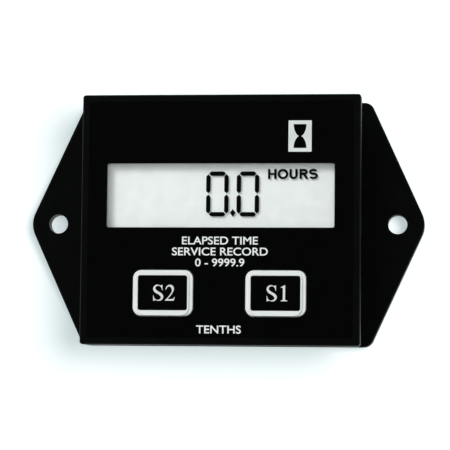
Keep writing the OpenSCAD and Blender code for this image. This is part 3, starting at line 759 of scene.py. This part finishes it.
def letter_r():
    """An upright with a round head and a slanting leg."""
    x, y = 0.48, 0.71
    reach = 1 - y
    inner = reach - STROKE
    upright = corners((0, 1), (0, 0), (STROKE, 0))
    leg = corners((STROKE, 0.4), (0.37, 0.4), (0.58, 0), (0.86, 0), (0.61, 0.45))
    counter = corners((STROKE, y + inner), (STROKE, y - inner))
    return [upright + leg + bow(x, y, reach, reach, -60, 90), counter + bow(x, y, inner, inner, -90, 90)]


def letter_s():
    """Two bowls, the upper one narrower, that share the stroke between them."""
    mouth = 25
    half = 0.44
    upper_w = half - 0.02
    upper_h = 0.3
    lower_h = 0.5 + OVERSHOOT + STROKE / 2 - upper_h
    upper_y = 1 + OVERSHOOT - upper_h
    lower_y = lower_h - OVERSHOOT
    return [
        bow(half, upper_y, upper_w, upper_h, mouth, 270)
        + bow(half, lower_y, half - STROKE, lower_h - STROKE, 90, mouth - 180)
        + bow(half, lower_y, half, lower_h, mouth - 180, 90)
        + bow(half, upper_y, upper_w - STROKE, upper_h - STROKE, 270, mouth)
    ]


CAPITALS = {"H": letter_h(), "O": letter_o(), "U": letter_u(), "R": letter_r(), "S": letter_s()}


def set_word(words, shapes, gaps):
    """Outlines of a word's letters, set one after another, in units of their height."""
    outlines = []
    start = 0.0
    for sign in words:
        start += gaps[sign]
        outlines += [[(start + x, y, kind) for x, y, kind in points] for points in shapes[sign]]
        start += max(x for x, y, kind in shapes[sign][0])
    return outlines


def rect_points(width, height, radius):
    """Outline of a rectangle with round corners."""
    points = []
    for sx, sy, start in ((1, 1, 0), (-1, 1, 90), (-1, -1, 180), (1, -1, 270)):
        for step in range(CORNER_STEPS + 1):
            turn = math.radians(start + 90 * step / CORNER_STEPS)
            points.append((
                sx * (width / 2 - radius) + radius * math.cos(turn),
                sy * (height / 2 - radius) + radius * math.sin(turn),
            ))
    return corners(*points)


def hourglass_points(width, height, waist):
    """Outline of an hourglass: two bulbs that widen from a narrow waist."""
    rise = [step / GLASS_STEPS for step in range(GLASS_STEPS + 1)]
    bulge = [(1 - (1 - t) ** 2) ** BULB_FULLNESS for t in rise]
    side = [((waist + (width - waist) * b) / 2, height / 2 * t) for b, t in zip(bulge, rise)]
    right = [(x, -y) for x, y in reversed(side)] + side[1:]
    left = [(-x, y) for x, y in reversed(right)]
    return corners(*right, *left)


def segment_points(start, end, width):
    """Outline of a display segment: a bar with pointed ends."""
    along = (end - start).normalized()
    across = Vector((-along.y, along.x)) * width / 2
    tip = along * width / 2
    return [start, start + tip - across, end - tip - across, end, end - tip + across, start + tip + across]


def diamond_points(place, width, height):
    """Outline of the decimal point."""
    x, y = place
    return [(x + width / 2, y), (x, y + height / 2), (x - width / 2, y), (x, y - height / 2)]


def nought_lines(sizes):
    """Start and end of the six segments of a nought, counted from its middle."""
    half_x = (sizes.digit_w - sizes.segment_w) / 2
    half_y = (sizes.digit_h - sizes.segment_w) / 2
    right = [(half_x, 0), (half_x, half_y)]
    left = [(-half_x, half_y), (-half_x, 0), (-half_x, -half_y)]
    turns = [Vector(place) for place in (*right, *left, (half_x, -half_y))]
    return list(zip(turns, turns[1:] + turns[:1]))


# Operators

class METER_OT_finishes(bpy.types.Operator):
    """Finish of every solid, with the layers over the display left clear to the light"""

    bl_idname = "hour_meter.finishes"
    bl_label = "Finishes"

    def execute(self, context):
        finishes = slot_finishes(context.scene.meter_finish)
        own = own_finishes()
        for node, solid in frame["nodes"].items():
            solid.data.materials.clear()
            solid.data.materials.append(own.get(node, finishes[SLOTS[node]]))
            if SLOTS[node] in CLEAR_SLOTS:
                solid.visible_shadow = False
                solid.visible_diffuse = False
        return {"FINISHED"}


class METER_OT_mouldings(bpy.types.Operator):
    """Case, front and printed sheet with soft edges"""

    bl_idname = "hour_meter.mouldings"
    bl_label = "Case and front"

    def execute(self, context):
        for node, (name, edge) in MOULDINGS.items():
            soft_piece(node, name, edge, "root")
        return {"FINISHED"}


class METER_OT_keys(bpy.types.Operator):
    """Cap and inlay of each button with soft edges"""

    bl_idname = "hour_meter.keys"
    bl_label = "Buttons"

    def execute(self, context):
        for button in BUTTONS:
            for stem, (name, edge) in KEY_PIECES.items():
                soft_piece(f"{stem}_{button}", f"{name}_{button}", edge, f"button_{button}")
        return {"FINISHED"}


class METER_OT_back_fittings(bpy.types.Operator):
    """Case screws and the grommet of the lead's inlet, with soft edges"""

    bl_idname = "hour_meter.back_fittings"
    bl_label = "Screws and grommet"

    def execute(self, context):
        for node, (name, edge) in BACK_FITTINGS.items():
            soft_piece(node, name, edge, "root")
        return {"FINISHED"}


class METER_OT_legend(bpy.types.Operator):
    """White lines under the window and the word under the buttons"""

    bl_idname = "hour_meter.legend"
    bl_label = "Legend"

    def execute(self, context):
        sizes = context.scene.meter_print
        ink = ink_finish("Legend ink", context.scene.meter_finish.ink_white)
        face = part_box("face_overlay")[1].z
        x, y = sizes.legend_top
        prints = {}
        for index, line in enumerate((sizes.legend_1, sizes.legend_2, sizes.legend_3)):
            prints[f"legend_line_{index + 1}"] = (line, (x, y - index * sizes.legend_pitch))
        prints["foot_word"] = (sizes.foot_word, sizes.foot_place)
        for name, (words, place) in prints.items():
            mesh = word_mesh(words)
            width = width_ratio(mesh) * sizes.legend_h * sizes.legend_stretch
            fit(mesh, place, width, sizes.legend_h, face - PRINT_BITE, face + sizes.print_t)
            new_piece(name, mesh, "root", "print_white", ink)
        return {"FINISHED"}


class METER_OT_symbol(bpy.types.Operator):
    """Pale panel with an hourglass left open in it"""

    bl_idname = "hour_meter.symbol"
    bl_label = "Hour symbol"

    def execute(self, context):
        sizes = context.scene.meter_print
        width, height = sizes.symbol_w, sizes.symbol_h
        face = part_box("face_overlay")[1].z
        mesh = outline_mesh([
            rect_points(width, height, sizes.symbol_r),
            hourglass_points(sizes.glass_w, sizes.glass_h, sizes.glass_waist),
        ])
        fit(mesh, sizes.symbol_place, width, height, face - PRINT_BITE, face + sizes.print_t)
        ink = ink_finish("Panel ink", context.scene.meter_finish.panel_white)
        new_piece("hour_symbol", mesh, "root", "print_white", ink)
        return {"FINISHED"}


class METER_OT_key_letters(bpy.types.Operator):
    """Letter and number on each button"""

    bl_idname = "hour_meter.key_letters"
    bl_label = "Button letters"

    def execute(self, context):
        sizes = context.scene.meter_print
        tall = sizes.key_letter_h
        ink = ink_finish("Button ink", context.scene.meter_finish.letter_white)
        shapes = {sign: [points] for sign, points in LETTERS.items()}
        for button in BUTTONS:
            low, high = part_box(f"key_label_{button}")
            place = (low + high) / 2
            place.x += sizes.key_letter_shift
            mesh = outline_mesh(set_word(button.upper(), shapes, LETTER_GAPS), LETTER_THINNING)
            fit(mesh, place, width_ratio(mesh) * tall, tall, high.z - PRINT_BITE, high.z + sizes.print_t)
            new_piece(f"key_letters_{button}", mesh, f"button_{button}", "print_white", ink)
        return {"FINISHED"}


class METER_OT_display(bpy.types.Operator):
    """Digits, decimal point and unit word between the display glasses"""

    bl_idname = "hour_meter.display"
    bl_label = "Display reading"

    def execute(self, context):
        sizes = context.scene.meter_print
        ink = segment_finish(context.scene.meter_finish)
        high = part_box("lcd_rear_glass")[1].z
        low = high - sizes.print_t
        digits = self.digits(sizes, low, high)
        new_piece("display_digits", digits, "root", "display_ink", ink)
        word = outline_mesh(set_word(sizes.unit_word, CAPITALS, CAPITAL_GAPS))
        fit(word, sizes.unit_place, sizes.unit_w, sizes.unit_h, low, high)
        new_piece("display_unit", word, "root", "display_ink", ink)
        return {"FINISHED"}

    def digits(self, sizes, low, high):
        """Mesh of the noughts and the decimal point between two heights."""
        bm = bmesh.new()
        faces = []
        for digit in range(DIGITS):
            centre = Vector(sizes.digit_place) + Vector((digit * sizes.digit_pitch, 0))
            for start, end in nought_lines(sizes):
                gap = (end - start).normalized() * sizes.segment_gap
                points = segment_points(centre + start + gap, centre + end - gap, sizes.segment_w)
                faces.append(flat_shape(bm, points))
        faces.append(flat_shape(bm, diamond_points(sizes.point_place, sizes.point_w, sizes.point_h)))
        thicken(bm, faces, low, high)
        mesh = bpy.data.meshes.new("display_digits")
        close(bm, mesh)
        return mesh


class METER_OT_stage(bpy.types.Operator):
    """White floor, three lamps, sky and the camera"""

    bl_idname = "hour_meter.stage"
    bl_label = "Stage"

    def execute(self, context):
        scene = context.scene
        stage = scene.meter_stage
        scene.view_settings.view_transform = "Standard"
        floor = self.floor(stage)
        self.lamp("left_lamp", stage.left_from, stage.left_lamp, stage.left_angle, floor, "EXCLUDE")
        self.lamp("over_lamp", stage.over_from, stage.over_lamp, stage.over_angle, floor, "EXCLUDE")
        self.lamp("floor_lamp", stage.floor_from, stage.floor_lamp, stage.floor_angle, floor, "INCLUDE")
        scene.world = self.sky(stage)
        self.camera(scene, stage)
        return {"FINISHED"}

    def sky(self, stage):
        """Even pale light from all round, dimmed overhead, and plain white for the camera."""
        world = bpy.data.worlds.new("Sky")
        r = SkyRecipe(world)
        camera = r.add("ShaderNodeLightPath").outputs["Is Camera Ray"]
        white = r.spread(r.seen(), 0.0, 1.0, stage.sky, 1.0)
        patch = r.spread(r.axis("Z"), *PATCH_HEIGHTS, 1.0, stage.sky_patch, "SMOOTHSTEP")
        light = r.feed(
            r.add("ShaderNodeBackground"),
            Color=r.mix(camera, stage.sky_colour, WHITE),
            Strength=r.reckon("MAXIMUM", camera, r.reckon("MULTIPLY", white, patch)),
        )
        r.feed(r.add("ShaderNodeOutputWorld"), Surface=light.outputs["Background"])
        return world

    def floor(self, stage):
        """A wide floor that is white for the camera, keeps the shadow and is open from below."""
        bm = bmesh.new()
        bmesh.ops.create_grid(bm, x_segments=1, y_segments=1, size=stage.floor_size / 2)
        mesh = bpy.data.meshes.new("floor")
        bm.to_mesh(mesh)
        bm.free()
        mesh.materials.append(self.floor_finish(stage))
        floor = bpy.data.objects.new("floor", mesh)
        bpy.context.scene.collection.objects.link(floor)
        return floor

    def floor_finish(self, stage):
        """Paper that is lifted to white for the camera, and clear from below."""
        r = Recipe("Floor white")
        seen = r.seen()
        tone = r.mix(seen, stage.floor_colour, stage.floor_seen)
        paper = r.feed(r.add("ShaderNodeBsdfDiffuse"), Color=tone)
        lift = r.feed(r.add("ShaderNodeEmission"), Color=(*stage.floor_shade, 1.0), Strength=seen)
        lit = r.add("ShaderNodeAddShader")
        r.put(lit.inputs[0], paper.outputs["BSDF"])
        r.put(lit.inputs[1], lift.outputs["Emission"])
        below = r.add("ShaderNodeBsdfTransparent")
        back = r.add("ShaderNodeNewGeometry").outputs["Backfacing"]
        return r.surface(r.blend(back, lit.outputs["Shader"], below.outputs["BSDF"]))

    def lamp(self, name, place, level, span, floor, floor_state):
        """A soft far lamp that gives a level surface that share of white, on the floor or on all but it."""
        direction = Vector(place).normalized()
        data = bpy.data.lights.new(name, "SUN")
        data.energy = level * math.pi / direction.z
        data.angle = span
        lamp = bpy.data.objects.new(name, data)
        lamp.rotation_euler = direction.to_track_quat("Z", "Y").to_euler()
        bpy.context.scene.collection.objects.link(lamp)
        lamp.visible_glossy = False
        lit = bpy.data.collections.new(name)
        lit.objects.link(floor)
        lit.collection_objects[0].light_linking.link_state = floor_state
        lamp.light_linking.receiver_collection = lit

    def camera(self, scene, stage):
        """Camera with the dial's up direction upright in the picture, but for a small roll."""
        data = bpy.data.cameras.new("camera")
        data.sensor_width = SENSOR_WIDTH
        data.sensor_fit = "HORIZONTAL"
        data.lens = stage.camera_lens
        data.clip_start, data.clip_end = CLIP_RANGE
        camera = bpy.data.objects.new("camera", data)
        back = (Vector(stage.camera_place) - Vector(stage.camera_aim)).normalized()
        right = Vector((0, 1, 0)).cross(back).normalized()
        axes = Matrix((right, back.cross(right), back)).transposed()
        turn = Matrix.Rotation(stage.camera_roll, 3, back)
        camera.matrix_world = Matrix.Translation(stage.camera_place) @ (turn @ axes).to_4x4()
        scene.collection.objects.link(camera)
        scene.camera = camera


class METER_PT_panel(bpy.types.Panel):
    """Steps that dress the hour meter"""

    bl_idname = "METER_PT_panel"
    bl_label = "Hour meter"
    bl_space_type = "VIEW_3D"
    bl_region_type = "UI"
    bl_category = "Hour meter"

    def draw(self, context):
        for step in STEPS:
            self.layout.operator(step.bl_idname)


STEPS = (
    METER_OT_finishes, METER_OT_mouldings, METER_OT_keys, METER_OT_back_fittings, METER_OT_legend,
    METER_OT_symbol, METER_OT_key_letters, METER_OT_display, METER_OT_stage,
)
GROUPS = {"meter_print": MeterPrint, "meter_finish": MeterFinish, "meter_stage": MeterStage}


def register():
    for item in (*GROUPS.values(), *STEPS, METER_PT_panel):
        bpy.utils.register_class(item)
    for name, group in GROUPS.items():
        setattr(bpy.types.Scene, name, PointerProperty(type=group))


def unregister():
    for name in GROUPS:
        delattr(bpy.types.Scene, name)
    for item in reversed((*GROUPS.values(), *STEPS, METER_PT_panel)):
        bpy.utils.unregister_class(item)


def main():
    register()
    bpy.ops.hour_meter.finishes()
    bpy.ops.hour_meter.mouldings()
    bpy.ops.hour_meter.keys()
    bpy.ops.hour_meter.back_fittings()
    bpy.ops.hour_meter.legend()
    bpy.ops.hour_meter.symbol()
    bpy.ops.hour_meter.key_letters()
    bpy.ops.hour_meter.display()
    bpy.ops.hour_meter.stage()


if __name__ == "__main__":
    main()
